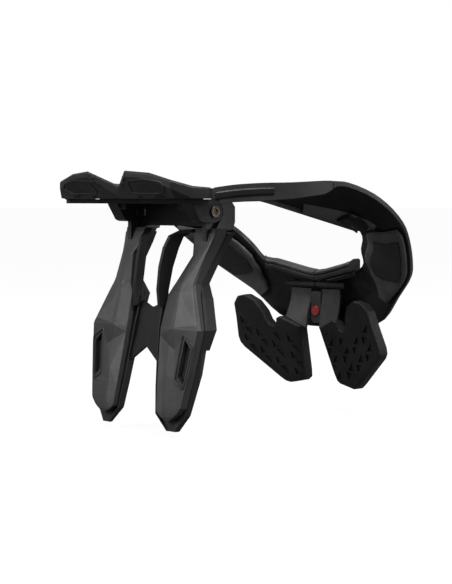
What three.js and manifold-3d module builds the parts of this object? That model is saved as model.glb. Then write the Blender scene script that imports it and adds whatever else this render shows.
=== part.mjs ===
// Motocross neck brace in its worn attitude. Millimetres, X to the wearer's right, Y forward, Z up.
// The origin is the middle of the neck opening, where the brace sits on its wearer.
// Right-hand pieces are worked out first and the left-hand ones are their mirror images.
import * as THREE from 'three';
import { mergeVertices } from 'three/addons/utils/BufferGeometryUtils.js';
import Module from 'manifold-3d';

const wasm = await Module();
wasm.setup();

// Overall sizes of the ring
const ringHalfWidth = 152;
const ringRear = 163;
const ringFront = 125;
const rimHeight = 58;
const frontDrop = 88;
const bandHeight = 14;
const plateWall = 4;
const lipDepth = 4.5;
const pieceGap = 0.35;

// Joints of the ring: the upright side hinges and the cross axis of the back struts
const sideHingeInset = 7;
const sideBarrelRadius = 6.7;
const sidePinRadius = 2.8;
const boreClearance = 0.3;
const strutAxisY = -88;
const strutAxisZ = 23;
const strutPinRadius = 3.2;
const pinHeadRadius = 5;

// Rear yoke
const yokeTop = 33.7;
const yokePlate = 3.8;
const lugInner = 43;
const lugOuter = 56.5;
const lugNose = 9.3;
const panelHalfWidth = 39.2;
const panelFront = -78.5;
const panelThickness = 3.6;
const panelBottom = 10.5;
const ribHalfLength = 68;
const ribY = -112;
const ribWidth = 2;
const ribHeight = 1.2;

// Back struts
const strutLength = 162;
const strutHalfSpan = 70.5;
const neckThickness = 12;
const padThickness = 10;
const tongueInner = 47.5;
const tongueOuter = 52;
const webThickness = 3.2;

// Front closure, straps and chest pads
const centreGap = 0.8;
const collarThickness = 10;
const collarHeight = 11;
const barHalfLength = 37.5;
const barY = 96.2;
const barZ = -47.6;
const barRadius = 3.3;
const strapWidth = 25;
const strapThickness = 2.6;
const strapInner = 6.7;
const chestPadThickness = 12;
const chestPadBevel = 2.4;
const chestPadWidth = 93;
const chestPadBottom = 145;
const buttonRadius = 4.8;
const buttonZ = -72.5;
const bossHalfWidth = 6.2;
const bossRear = 95;
const bossFront = 105.5;
const bossTop = -57;
const bossBottom = -84;

const vec = (x, y, z) => new THREE.Vector3(x, y, z);
const mix = (a, b, t) => a + (b - a) * t;
const down = vec(0, 0, -1);

// Solids from triangles, with the faces turned outwards
function solidFrom(points, triangles) {
  let volume = 0;
  for (const [a, b, c] of triangles) {
    volume += points[a].dot(vec(0, 0, 0).crossVectors(points[b], points[c]));
  }
  const index = triangles.flatMap(([a, b, c]) => (volume > 0 ? [a, b, c] : [a, c, b]));
  const geometry = new THREE.BufferGeometry();
  const places = points.flatMap((p) => [p.x, p.y, p.z]);
  geometry.setAttribute('position', new THREE.Float32BufferAttribute(places, 3));
  geometry.setIndex(index);
  return geometry;
}

function capTriangles(ring, offset) {
  const normal = vec(0, 0, 0);
  ring.forEach((p, i) => {
    const q = ring[(i + 1) % ring.length];
    normal.add(vec(0, 0, 0).crossVectors(p, q));
  });
  normal.normalize();
  const helper = Math.abs(normal.z) < 0.8 ? vec(0, 0, 1) : vec(1, 0, 0);
  const u = vec(0, 0, 0).crossVectors(helper, normal).normalize();
  const v = vec(0, 0, 0).crossVectors(normal, u);
  const flat = ring.map((p) => new THREE.Vector2(p.dot(u), p.dot(v)));
  return THREE.ShapeUtils.triangulateShape(flat, []).map((f) => f.map((i) => i + offset));
}

// A skin stretched over closed sections that all have the same number of corners
function loft(sections) {
  const count = sections[0].length;
  const points = sections.flat();
  const triangles = [];
  for (let s = 0; s + 1 < sections.length; s += 1) {
    for (let i = 0; i < count; i += 1) {
      const j = (i + 1) % count;
      const a = s * count + i;
      const b = s * count + j;
      triangles.push([a, b, b + count], [a, b + count, a + count]);
    }
  }
  const first = capTriangles(sections[0], 0).map(([a, b, c]) => [a, c, b]);
  const last = capTriangles(sections[sections.length - 1], points.length - count);
  return solidFrom(points, [...triangles, ...first, ...last]);
}

// Joins and cuts of closed solids
function asManifold(geometry) {
  const bare = geometry.clone();
  bare.deleteAttribute('normal');
  bare.deleteAttribute('uv');
  const merged = mergeVertices(bare, 1e-4);
  return new wasm.Manifold(new wasm.Mesh({
    numProp: 3,
    vertProperties: new Float32Array(merged.attributes.position.array),
    triVerts: new Uint32Array(merged.index.array),
  }));
}

function asGeometry(manifold) {
  const mesh = manifold.getMesh();
  const geometry = new THREE.BufferGeometry();
  geometry.setAttribute('position', new THREE.BufferAttribute(new Float32Array(mesh.vertProperties), 3));
  geometry.setIndex(new THREE.BufferAttribute(new Uint32Array(mesh.triVerts), 1));
  return geometry;
}

function join(first, ...others) {
  return asGeometry(others.reduce((sum, g) => sum.add(asManifold(g)), asManifold(first)));
}

function cut(first, ...tools) {
  return asGeometry(tools.reduce((sum, g) => sum.subtract(asManifold(g)), asManifold(first)));
}

// Simple blocks, upright rods, cross rods and plates
function block(x0, x1, y0, y1, z0, z1) {
  const box = new THREE.BoxGeometry(x1 - x0, y1 - y0, z1 - z0);
  return box.translate((x0 + x1) / 2, (y0 + y1) / 2, (z0 + z1) / 2);
}

function uprightRod(x, y, radius, z0, z1, sides = 24) {
  const rod = new THREE.CylinderGeometry(radius, radius, z1 - z0, sides).rotateX(Math.PI / 2);
  return rod.translate(x, y, (z0 + z1) / 2);
}

function crossRod(x0, x1, y, z, radius, sides = 24) {
  const rod = new THREE.CylinderGeometry(radius, radius, x1 - x0, sides).rotateZ(Math.PI / 2);
  return rod.translate((x0 + x1) / 2, y, z);
}

function forwardRod(x, z, radius, y0, y1, sides = 28) {
  return new THREE.CylinderGeometry(radius, radius, y1 - y0, sides).translate(x, (y0 + y1) / 2, z);
}

// Turns every face over, for a shape that a mirroring step has left inside out
function turnedOver(geometry) {
  const bare = geometry.clone();
  bare.deleteAttribute('normal');
  bare.deleteAttribute('uv');
  const copy = mergeVertices(bare, 1e-4);
  const index = Array.from(copy.index.array);
  for (let i = 0; i < index.length; i += 3) [index[i + 1], index[i + 2]] = [index[i + 2], index[i + 1]];
  copy.setIndex(index);
  return copy;
}

function shapeOf(corners) {
  return new THREE.Shape(corners.map(([a, b]) => new THREE.Vector2(a, b)));
}

// A plate whose outline is drawn in Y and Z and which is thick along X
function plateAcross(corners, x0, x1) {
  const flat = new THREE.ExtrudeGeometry(shapeOf(corners), { depth: x1 - x0, bevelEnabled: false });
  flat.applyMatrix4(new THREE.Matrix4().set(0, 0, 1, x0, 1, 0, 0, 0, 0, 1, 0, 0, 0, 0, 0, 1));
  return flat;
}

// A plate whose outline is drawn in X and Y and which is thick along Z
function levelPlate(corners, z0, z1) {
  const flat = new THREE.ExtrudeGeometry(shapeOf(corners), { depth: z1 - z0, bevelEnabled: false });
  return flat.translate(0, 0, z0);
}

// A plate whose outline is drawn in X and Z and which is thick along Y
function standingPlate(corners, y0, y1) {
  const flat = new THREE.ExtrudeGeometry(shapeOf(corners), { depth: y1 - y0, bevelEnabled: false });
  flat.applyMatrix4(new THREE.Matrix4().set(1, 0, 0, 0, 0, 0, -1, y1, 0, 1, 0, 0, 0, 0, 0, 1));
  return flat;
}

function arcCorners(cy, cz, radius, fromDegrees, toDegrees, steps) {
  return Array.from({ length: steps + 1 }, (_, i) => {
    const angle = THREE.MathUtils.degToRad(mix(fromDegrees, toDegrees, i / steps));
    return [cy + radius * Math.cos(angle), cz + radius * Math.sin(angle)];
  });
}

// Ring sections from the side hinge (first row) round the shoulder to the front closure (last row).
// Shares of the ring's half width, of its rear or front reach, and of the rim's height or the front's drop.
// The outer rim, the knee and the inner edge each have x, y and z. Wall, band and lean follow.
const ringColumns = ['ox', 'oy', 'oz', 'kx', 'ky', 'kz', 'ix', 'iy', 'iz', 'wall', 'band', 'lean'];
const ringRows = [
  [0.638, -0.785, 0.741, 0.586, -0.718, 0.724, 0.493, -0.595, 0.724, 1.9, 0.93, 0],
  [0.711, -0.693, 0.786, 0.658, -0.632, 0.733, 0.526, -0.491, 0.716, 1.6, 1, 0],
  [0.796, -0.583, 0.81, 0.724, -0.528, 0.741, 0.546, -0.38, 0.698, 1.4, 1.04, 0],
  [0.875, -0.448, 0.819, 0.77, -0.393, 0.741, 0.553, -0.276, 0.638, 1.2, 0.96, 0],
  [0.934, -0.264, 0.845, 0.789, -0.227, 0.724, 0.553, -0.172, 0.569, 1.1, 0.79, 0],
  [0.953, -0.196, 0.841, 0.796, -0.16, 0.71, 0.553, -0.104, 0.526, 1, 0.32, 0],
  [0.967, -0.135, 0.828, 0.803, -0.086, 0.69, 0.553, -0.031, 0.483, 1, 0.3, 0],
  [0.993, 0.04, 0.681, 0.809, 0.104, 0.569, 0.553, 0.16, 0.414, 1, 0.32, 0],
  [1, 0.224, 0.466, 0.803, 0.304, 0.379, 0.553, 0.336, 0.31, 1, 0.34, 0],
  [0.987, 0.384, 0.207, 0.783, 0.456, 0.138, 0.553, 0.48, 0.207, 1, 0.36, 0.2],
  [0.934, 0.52, -0.034, 0.737, 0.584, -0.068, 0.526, 0.584, 0.052, 1, 0.36, 0.4],
  [0.855, 0.664, -0.239, 0.664, 0.696, -0.216, 0.467, 0.656, -0.102, 1, 0.36, 0.7],
  [0.776, 0.768, -0.398, 0.592, 0.792, -0.364, 0.428, 0.744, -0.261, 1, 0.36, 1],
  [0.605, 0.872, -0.636, 0.461, 0.872, -0.523, 0.322, 0.804, -0.364, 1, 0.36, 1],
  [0.441, 0.944, -0.886, 0.316, 0.92, -0.625, 0.181, 0.836, -0.432, 1, 0.36, 1],
  [0.263, 0.984, -0.989, 0.171, 0.944, -0.67, 0.079, 0.852, -0.466, 1, 0.36, 1],
  [0, 1, -1, 0, 0.96, -0.682, 0, 0.856, -0.477, 1, 0.36, 1],
];
const lastRow = ringRows.length - 1;

function ringPlace(sx, sy, sz) {
  const y = sy * (sy > 0 ? ringFront : ringRear);
  const z = sz * (sz > 0 ? rimHeight : frontDrop);
  return vec(sx * ringHalfWidth + centreGap, y, z);
}

const ringTable = ringRows.map((row) => Object.fromEntries(ringColumns.map((name, i) => [name, row[i]])));
const rimCurve = new THREE.CatmullRomCurve3(ringTable.map((r) => ringPlace(r.ox, r.oy, r.oz)));
const kneeCurve = new THREE.CatmullRomCurve3(ringTable.map((r) => ringPlace(r.kx, r.ky, r.kz)));
const innerCurve = new THREE.CatmullRomCurve3(ringTable.map((r) => ringPlace(r.ix, r.iy, r.iz)));

function rowValue(name, t) {
  const low = Math.min(Math.floor(t), lastRow - 1);
  return mix(ringTable[low][name], ringTable[low + 1][name], t - low);
}

// What the ring is like at one place along it: its three lines, the way across and the way down
function ringFrame(t) {
  const share = t / lastRow;
  const rim = rimCurve.getPoint(share);
  const knee = kneeCurve.getPoint(share);
  const inner = innerCurve.getPoint(share);
  const across = rim.clone().sub(inner).normalize();
  const [before, after] = [Math.max(share - 0.01, 0), Math.min(share + 0.01, 1)];
  const along = kneeCurve.getPoint(after).sub(kneeCurve.getPoint(before));
  const up = vec(0, 0, 0).crossVectors(along, across).normalize();
  if (up.z < 0) up.negate();
  up.x = t > lastRow - 1.5 ? 0 : up.x;
  const lean = rowValue('lean', t);
  const below = down.clone().multiplyScalar(1 - lean).addScaledVector(up, -lean).normalize();
  const [earlier, later] = [Math.max(share - 0.01, 0), Math.min(share + 0.01, 1)];
  const edge = innerCurve.getPoint(later).sub(innerCurve.getPoint(earlier));
  const inward = vec(-edge.y, edge.x, 0).normalize();
  if (inward.dot(across) > 0) inward.negate();
  const wall = rowValue('wall', t) * plateWall;
  const band = rowValue('band', t) * bandHeight;
  return { rim, knee, inner, across, below, inward, wall, band };
}

function steps(from, to, count) {
  return Array.from({ length: count + 1 }, (_, i) => mix(from, to, i / count));
}

const away = (p, direction, distance) => p.clone().addScaledVector(direction, distance);

// The dished shell: a rim band outside, a thin plate over the knee and a lip inside
function ringSection(t) {
  const f = ringFrame(t);
  const rimFoot = away(f.rim, f.below, f.band);
  const lipFoot = away(f.inner, f.below, lipDepth);
  return [
    f.inner, f.knee, f.rim, rimFoot,
    away(rimFoot, f.across, -plateWall),
    away(f.knee, f.below, Math.min(f.wall, f.band)),
    away(lipFoot, f.across, plateWall * 0.8),
    lipFoot,
  ];
}

// A point of the underside: share 0 at the inner edge, 0.5 at the knee and 1 at the rim, and a depth below it
function undersidePoint(t, share, depth) {
  const f = ringFrame(t);
  const top = share < 0.5
    ? f.inner.clone().lerp(f.knee, share * 2)
    : f.knee.clone().lerp(f.rim, share * 2 - 1);
  return away(top, f.below, lipDepth + 0.6 + depth);
}

// Side hinge axis, inside the outer face at the first row
const hingeFrame = ringFrame(0);
const sideAxis = away(hingeFrame.rim, hingeFrame.across.clone().setZ(0).normalize(), -sideHingeInset);

function sideShell() {
  const startRow = 0.06;
  const shell = loft(steps(startRow, 4.62, 14).map(ringSection));
  const barrelTop = hingeFrame.rim.z - 0.4;
  const foot = yokeTop + pieceGap;
  const relief = uprightRod(sideAxis.x, sideAxis.y, sideBarrelRadius + 0.8, yokeTop - yokePlate - 12, foot);
  const barrel = uprightRod(sideAxis.x, sideAxis.y, sideBarrelRadius, foot, barrelTop);
  const bore = uprightRod(sideAxis.x, sideAxis.y, sidePinRadius + boreClearance, yokeTop - 10, yokeTop + 6);
  return cut(join(cut(shell, relief), barrel), bore);
}

function sidePlate() {
  const plateLow = 10.4;
  const plateHigh = 3.6;
  const proud = 1.6;
  return loft(steps(0.12, 2.4, 6).map((t) => {
    const f = ringFrame(t);
    const next = rimCurve.getPoint((t + 0.1) / lastRow).sub(f.rim);
    const out = vec(next.y, -next.x, 0).normalize();
    const base = away(f.rim, out, pieceGap);
    return [
      away(base, down, plateHigh),
      away(away(base, out, proud), down, plateHigh + 1.2),
      away(away(base, out, proud), down, plateLow - 1.2),
      away(base, down, plateLow),
    ];
  }));
}

function innerLip() {
  const lipThickness = 3;
  const lipHeight = 8.5;
  return loft(steps(1.6, 9.1, 20).map((t) => {
    const f = ringFrame(t);
    const base = away(f.inner, f.inward, pieceGap);
    return [
      away(base, down, -0.6),
      away(away(base, f.inward, lipThickness * 0.7), down, -0.9),
      away(away(base, f.inward, lipThickness), down, 1),
      away(away(base, f.inward, lipThickness * 0.8), down, lipHeight - 1),
      away(away(base, f.inward, lipThickness * 0.3), down, lipHeight),
      away(base, down, lipHeight - 0.8),
    ];
  }));
}

function browBlock() {
  const blockHeight = 5;
  return loft(steps(7.3, 8.5, 4).map((t) => [
    undersidePoint(t, 0.04, 0.4),
    undersidePoint(t, 0.34, 0.4),
    undersidePoint(t, 0.28, blockHeight),
    undersidePoint(t, 0.1, blockHeight),
  ]));
}

function frontWing() {
  return loft([...steps(4.68, 14, 27), ...steps(14.5, lastRow, 4)].map(ringSection));
}

// The framed panel on the back of the wing: rows along the ring with the shares across it
const wingPadRows = [
  { t: 8.8, from: 0.34, to: 0.88 },
  { t: 9.15, from: 0.16, to: 0.93 },
  { t: 10.3, from: 0.11, to: 0.94 },
  { t: 11.4, from: 0.1, to: 0.95 },
  { t: 12.2, from: 0.22, to: 0.94 },
  { t: 13.2, from: 0.66, to: 0.9 },
];

function underPanel(rows, top, bottom, margin, bevel) {
  return loft(rows.flatMap((row, i) => {
    const next = rows[i + 1];
    const between = next ? steps(0, 1, 3).slice(0, 3) : [0];
    return between.map((u) => {
      const t = next ? mix(row.t, next.t, u) : row.t;
      const from = (next ? mix(row.from, next.from, u) : row.from) + margin;
      const to = (next ? mix(row.to, next.to, u) : row.to) - margin;
      return [
        undersidePoint(t, from, top),
        undersidePoint(t, Math.max(0.5, from + 0.02), top),
        undersidePoint(t, to, top),
        undersidePoint(t, to, bottom - bevel),
        undersidePoint(t, to - 0.04, bottom),
        undersidePoint(t, Math.max(0.5, from + 0.06), bottom),
        undersidePoint(t, from + 0.04, bottom),
        undersidePoint(t, from, bottom - bevel),
      ];
    });
  }));
}

const wingPadDepth = 4.2;
const wingMeshDepth = 1.1;
const padSeat = pieceGap + 0.45;

function wingPad() {
  return underPanel(wingPadRows, padSeat, padSeat + wingPadDepth, 0, 1.4);
}

function wingMesh() {
  const rows = wingPadRows.slice(1, 5).map((row, i) => ({ ...row, t: row.t + [0.12, 0, 0, -0.15][i] }));
  const top = padSeat + pieceGap + 0.25 + wingPadDepth;
  return underPanel(rows, top, top + wingMeshDepth, 0.11, 0.5);
}

// The collar roll along the inner edge of the front: heights of its top above the wing's inner edge
const collarRows = [
  { t: 11.9, top: 1.2 },
  { t: 12.4, top: 4.5 },
  { t: 13, top: 8.5 },
  { t: 14, top: 10 },
  { t: 15, top: 9.5 },
  { t: lastRow, top: 9 },
];
const collarSetback = lipDepth + 0.9;

function collarTop(t) {
  const holds = (row, k) => k + 1 < collarRows.length && t <= collarRows[k + 1].t;
  const i = Math.max(0, collarRows.findIndex(holds));
  const a = collarRows[i];
  const b = collarRows[i + 1];
  return mix(a.top, b.top, THREE.MathUtils.clamp((t - a.t) / (b.t - a.t), 0, 1));
}

function along(t, inset, rise) {
  const f = ringFrame(t);
  const place = away(away(f.inner, f.inward, inset), down, -rise);
  place.x = Math.max(place.x, centreGap);
  return place;
}

function collarPad() {
  const outer = collarSetback;
  const inner = collarSetback + collarThickness;
  return loft(steps(11.9, lastRow, 12).map((t) => {
    const top = collarTop(t);
    const foot = top - collarHeight;
    const waist = mix(top, foot, 0.52);
    return [
      along(t, outer, foot + 1),
      along(t, outer, top - 1.5),
      along(t, outer + 1.5, top),
      along(t, inner - 3.2, top - 0.6),
      along(t, inner, top - 3),
      along(t, inner, waist + 1),
      along(t, inner - 1.4, waist),
      along(t, inner - 0.2, waist - 1),
      along(t, inner - 0.6, foot + 1.2),
      along(t, inner - 2, foot),
      along(t, outer + 1, foot),
    ];
  }));
}

function collarRail() {
  const railHeight = 3.4;
  const railWidth = 1.9;
  return loft(steps(12.6, lastRow, 9).map((t) => {
    const top = collarTop(t) - collarHeight - pieceGap;
    return [
      along(t, collarSetback, top),
      along(t, collarSetback + railWidth, top),
      along(t, collarSetback + railWidth, top - railHeight + 0.8),
      along(t, collarSetback + railWidth - 0.8, top - railHeight),
      along(t, collarSetback, top - railHeight),
    ];
  }));
}

// The bar that carries the chest straps, with a foot that reaches the wing at its outer end
function strapBar() {
  const rod = crossRod(centreGap, barHalfLength, barY, barZ, barRadius, 10);
  const footWidth = 4.5;
  const foot = block(barHalfLength - footWidth, barHalfLength, barY, 103, barZ - 2.4, barZ + 2.2);
  return join(rod, foot);
}

// The chest pad's plane: forward as it goes down, and a little to the rear as it goes out
const padPlane = { x: 12.8, z: -87.5, y: 85, outSlope: -0.119, upSlope: -0.342 };
const padFaceY = (x, z) => (
  padPlane.y + padPlane.outSlope * (x - padPlane.x) + padPlane.upSlope * (z - padPlane.z)
);

// Outline of the chest pad's body face, as shares of its width and of its lowest point
const chestPadCorners = [
  [0.138, 0.604], [0.38, 0.543], [0.425, 0.556], [0.445, 0.598], [0.478, 0.611], [0.522, 0.603],
  [0.566, 0.568], [0.588, 0.51], [0.66, 0.442], [0.77, 0.405], [0.875, 0.418], [0.945, 0.468],
  [0.962, 0.56], [1, 0.7], [0.992, 0.742], [0.95, 0.776], [0.56, 0.968], [0.5, 0.994], [0.45, 1],
  [0.27, 0.976], [0.226, 0.956], [0.205, 0.9],
].map(([sx, sz]) => [sx * chestPadWidth, -sz * chestPadBottom]);

// Turns a flat plate, drawn in X and Z with its depth forward, to lie in the chest pad's plane
function leanToPadPlane(flat) {
  const { outSlope, upSlope } = padPlane;
  const start = padPlane.y - outSlope * padPlane.x - upSlope * padPlane.z;
  const slant = Math.hypot(1, outSlope, upSlope);
  const lean = new THREE.Matrix4();
  lean.set(1, 0, 0, 0, outSlope, upSlope, slant, start, 0, 1, 0, 0, 0, 0, 0, 1);
  flat.applyMatrix4(lean);
  return turnedOver(flat);
}

// Triangular impressions in columns: heights of the upright ones, and of the turned ones a little further in,
// as shares of the pad's width and of its lowest point
const impressionSize = 7.5;
const impressionDepth = 1.5;
const turnedInset = 3;
const impressionColumns = [
  { x: 0.855, upright: [0.58, 0.7], turned: [0.66, 0.775] },
  { x: 0.68, upright: [0.66, 0.78], turned: [0.735, 0.85] },
  { x: 0.5, upright: [0.733, 0.845], turned: [0.685, 0.8, 0.912] },
  { x: 0.285, upright: [0.69, 0.8, 0.912], turned: [0.76, 0.872] },
];

function impression(x, z, size) {
  const half = size / 2;
  const corners = [[x + half, z + half], [x + half, z - half], [x - half, z - half]];
  const depth = impressionDepth + 1;
  const flat = new THREE.ExtrudeGeometry(shapeOf(corners), { depth, bevelEnabled: false });
  return leanToPadPlane(flat.translate(0, 0, -1));
}

function chestPad() {
  const flat = new THREE.ExtrudeGeometry(shapeOf(chestPadCorners), {
    depth: chestPadThickness - 2 * chestPadBevel,
    bevelEnabled: true,
    bevelThickness: chestPadBevel,
    bevelSize: chestPadBevel,
    bevelOffset: -chestPadBevel,
    bevelSegments: 2,
  }).translate(0, 0, chestPadBevel);
  const pocketAt = (x, share, size) => impression(x * chestPadWidth, -share * chestPadBottom, size);
  const pockets = impressionColumns.flatMap(({ x, upright, turned }) => [
    ...upright.map((share) => pocketAt(x, share, impressionSize)),
    ...turned.map((share) => pocketAt(x - turnedInset / chestPadWidth, share, -impressionSize)),
  ]);
  return cut(leanToPadPlane(flat), ...pockets);
}

// The strap hangs from the bar and ends on the slanted top edge of the chest pad
function chestStrap() {
  const middle = strapInner + strapWidth / 2;
  const [innerTop, outerTop] = chestPadCorners;
  const seatSlope = (outerTop[1] - innerTop[1]) / (outerTop[0] - innerTop[0]);
  const seatZ = (x) => innerTop[1] + seatSlope * (x - innerTop[0]) + pieceGap;
  const seatY = padFaceY(middle, seatZ(middle)) + chestPadThickness * 0.6;
  const stations = [
    { z: barZ - barRadius - pieceGap, y: barY, shift: 0 },
    { z: -56, y: barY + 0.4, shift: 0.2 },
    { z: -63, y: barY - 0.4, shift: 0.6 },
    { z: -71, y: mix(barY, seatY, 0.5), shift: 1.2 },
    { z: null, y: seatY, shift: 2 },
  ];
  return loft(stations.map(({ z, y, shift }) => {
    const half = strapWidth / 2;
    const row = (side, bow, depth) => {
      const x = middle + shift + side * half;
      const turn = padPlane.outSlope * side * half * 0.6;
      return vec(x, y + bow + turn + depth, z ?? seatZ(x));
    };
    const [back, front] = [-strapThickness / 2, strapThickness / 2];
    return [
      row(-1, 0, back), row(-0.4, -0.5, back), row(0.4, -0.5, back), row(1, 0, back),
      row(1, 0, front), row(0.4, -0.5, front), row(-0.4, -0.5, front), row(-1, 0, front),
    ];
  }));
}

// Closure: the housing is on the left half and the tongue on the right one
const tongueZ0 = -63;
const tongueZ1 = -60;
const tongueEnd = 4;
const tongueRear = 103.8;
const tongueFront = 105.6;

function wingBack(z) {
  const knee = kneeCurve.getPoint(1);
  const rim = rimCurve.getPoint(1);
  const t = (z - knee.z) / (rim.z - knee.z);
  return mix(knee.y, rim.y, t) - plateWall - 3.2;
}

function closureFoot(x0, x1) {
  const corners = [
    [bossFront, bossTop - 1], [bossFront, bossBottom], [wingBack(bossBottom), bossBottom],
    [wingBack(-66), -66], [wingBack(-66) - 3, bossTop - 1],
  ];
  return plateAcross(corners, x0, x1);
}

function latchHousing() {
  const boss = standingPlate([
    [-bossHalfWidth, bossTop + 1.5], [-bossHalfWidth, bossBottom + 3], [-bossHalfWidth + 3, bossBottom],
    [bossHalfWidth - 3, bossBottom], [bossHalfWidth, bossBottom + 3], [bossHalfWidth, bossTop + 1.5],
    [bossHalfWidth - 1.5, bossTop + 3], [-bossHalfWidth + 1.5, bossTop + 3],
  ], bossRear, bossFront + 0.5);
  const foot = closureFoot(-13, -centreGap - 0.2);
  const slotEnd = tongueEnd - 0.8;
  const [slotLow, slotHigh] = [tongueZ0 - 0.8, tongueZ1 + 0.8];
  const slot = block(slotEnd, bossHalfWidth + 1, tongueRear - 1.3, bossFront + 20, slotLow, slotHigh);
  const well = forwardRod(0, buttonZ, buttonRadius + 0.4, bossRear - 1, bossRear + 7.5);
  const stemHole = forwardRod(0, buttonZ, buttonRadius * 0.5 + 0.4, bossRear, bossRear + 12);
  return cut(join(boss, foot), slot, well, stemHole);
}

function latchTongue() {
  const foot = closureFoot(bossHalfWidth + 0.8, 13);
  const tongue = block(tongueEnd, bossHalfWidth + 2, tongueRear, tongueFront, tongueZ0, tongueZ1);
  const arm = block(bossHalfWidth + 0.8, 12.5, tongueRear, bossFront + 1, tongueZ0 - 1, tongueZ1 + 1);
  return join(foot, arm, tongue);
}

function releaseButton() {
  const cap = forwardRod(0, buttonZ, buttonRadius, bossRear - 1.2, bossRear + 3.6);
  const stem = forwardRod(0, buttonZ, buttonRadius * 0.5, bossRear + 3, bossRear + 8.2, 16);
  return join(cap, stem);
}

// Rear table: sections from the middle out to the side hinge, with x, y and z of the rear edge, the knee and
// the front edge as shares of the ring's sizes, the rear edge's depth, and how far back the underside
// is level
const tableColumns = ['ox', 'oy', 'oz', 'kx', 'ky', 'kz', 'ix', 'iy', 'iz', 'edge', 'footY'];
const tableRows = [
  [0, -0.902, 0.776, 0, -0.847, 0.724, 0, -0.602, 0.707, 0.62, -0.885],
  [0.158, -0.99, 0.99, 0.145, -0.865, 0.767, 0.132, -0.602, 0.716, 0.36, -0.9],
  [0.329, -0.963, 0.957, 0.289, -0.871, 0.776, 0.26, -0.602, 0.724, 0.36, -0.905],
  [0.478, -0.938, 0.853, 0.424, -0.847, 0.759, 0.36, -0.602, 0.724, 0.5, -0.885],
  [0.566, -0.865, 0.767, 0.507, -0.791, 0.738, 0.434, -0.602, 0.724, 0.72, -0.84],
  [0.632, -0.797, 0.745, 0.578, -0.727, 0.724, 0.489, -0.603, 0.724, 0.64, -0.785],
];

function rearTable() {
  const tableBottom = yokeTop + pieceGap;
  const section = (values, side) => {
    const r = Object.fromEntries(tableColumns.map((name, i) => [name, values[i]]));
    const place = (sx, sy, sz) => {
      const p = ringPlace(sx, sy, sz);
      return vec(side * (p.x - centreGap * (sx === 0 ? 1 : 0)), p.y, p.z);
    };
    const rear = place(r.ox, r.oy, r.oz);
    const knee = place(r.kx, r.ky, r.kz);
    const front = place(r.ix, r.iy, r.iz);
    const rearFoot = away(rear, down, Math.min(r.edge * bandHeight, rear.z - tableBottom));
    const levelFoot = vec(mix(rear.x, knee.x, 0.4), r.footY * ringRear, tableBottom);
    return [
      front, knee, vec(rear.x, rear.y + 1.2, rear.z), away(rear, down, 1.6), rearFoot, levelFoot,
      vec(front.x, front.y, tableBottom),
    ];
  };
  const right = tableRows.map((row) => section(row, 1));
  const left = tableRows.slice(1).map((row) => section(row, -1)).reverse();
  const table = loft([...left, ...right]);
  const reliefs = [1, -1].map((side) => (
    uprightRod(side * sideAxis.x, sideAxis.y, sideBarrelRadius + 0.9, tableBottom - 3, rimHeight)
  ));
  const ribSeat = seatRib(pieceGap);
  return cut(table, ribSeat, ...reliefs);
}

// The low rib on the yoke that locates the table, or with a margin the groove that takes it
function seatRib(margin) {
  const half = ribWidth / 2 + margin;
  const length = ribHalfLength + margin;
  return block(-length, length, ribY - half, ribY + half, yokeTop - 1, yokeTop + ribHeight + margin);
}

function rearYoke() {
  const rightEdge = [
    [0, -126], [24, -128], [58, -129], [74, -126.5], [sideAxis.x - 4.2, sideAxis.y - 5.1],
  ];
  const rightInner = [
    [sideAxis.x + 1.2, sideAxis.y + 6.2], [sideAxis.x - 6, sideAxis.y + 5.4],
    [70, -103], [56, -96], [38, -93], [0, -93],
  ];
  const outline = [...rightEdge, ...rightInner];
  const mirrored = outline.filter(([x]) => x > 0).map(([x, y]) => [-x, y]).reverse();
  const plate = levelPlate([...outline, ...mirrored], yokeTop - yokePlate, yokeTop);
  const panelRear = panelFront - panelThickness;
  const panel = block(-panelHalfWidth, panelHalfWidth, panelRear, panelFront, panelBottom, yokeTop);
  const bridgeHalf = lugInner + 0.5;
  const bridgeFront = panelFront - panelThickness + 0.1;
  const bridge = block(-bridgeHalf, bridgeHalf, -95, bridgeFront, yokeTop - yokePlate, yokeTop);
  let yoke = join(plate, bridge, panel, seatRib(0));
  for (const side of [1, -1]) {
    const nose = arcCorners(strutAxisY, strutAxisZ, lugNose, -100, 62, 11);
    const lugCorners = [
      [-114, yokeTop], [-112.5, yokeTop - 5], [-104, 15.6], [-100, 14.2],
      ...nose, [strutAxisY + 4.2, yokeTop],
    ];
    const x0 = side > 0 ? lugInner : -lugOuter;
    const x1 = side > 0 ? lugOuter : -lugInner;
    const slotGap = 0.6;
    const slot0 = side > 0 ? tongueInner - slotGap : -tongueOuter - slotGap;
    const slot1 = side > 0 ? tongueOuter + slotGap : -tongueInner + slotGap;
    const slot = block(slot0, slot1, strutAxisY - 11.5, strutAxisY + 14, panelBottom - 6, strutAxisZ + 8.4);
    const web0 = side > 0 ? lugInner - 8.5 : -lugInner - 0.5;
    const web1 = side > 0 ? lugInner + 0.5 : -lugInner + 8.5;
    const shoulder = block(web0, web1, -110, -93, yokeTop - 9, yokeTop);
    const [x, y] = [side * sideAxis.x, sideAxis.y];
    const disc = uprightRod(x, y, sideBarrelRadius - 0.2, yokeTop - yokePlate, yokeTop);
    const bore = uprightRod(x, y, sidePinRadius + boreClearance, yokeTop - 10, yokeTop + 2);
    const pinBore = crossRod(side > 0 ? lugInner - 2 : -lugOuter - 2, side > 0 ? lugOuter + 2 : -lugInner + 2,
      strutAxisY, strutAxisZ, strutPinRadius + boreClearance);
    yoke = cut(join(yoke, plateAcross(lugCorners, x0, x1), shoulder, disc), slot, bore, pinBore);
  }
  return yoke;
}

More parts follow.
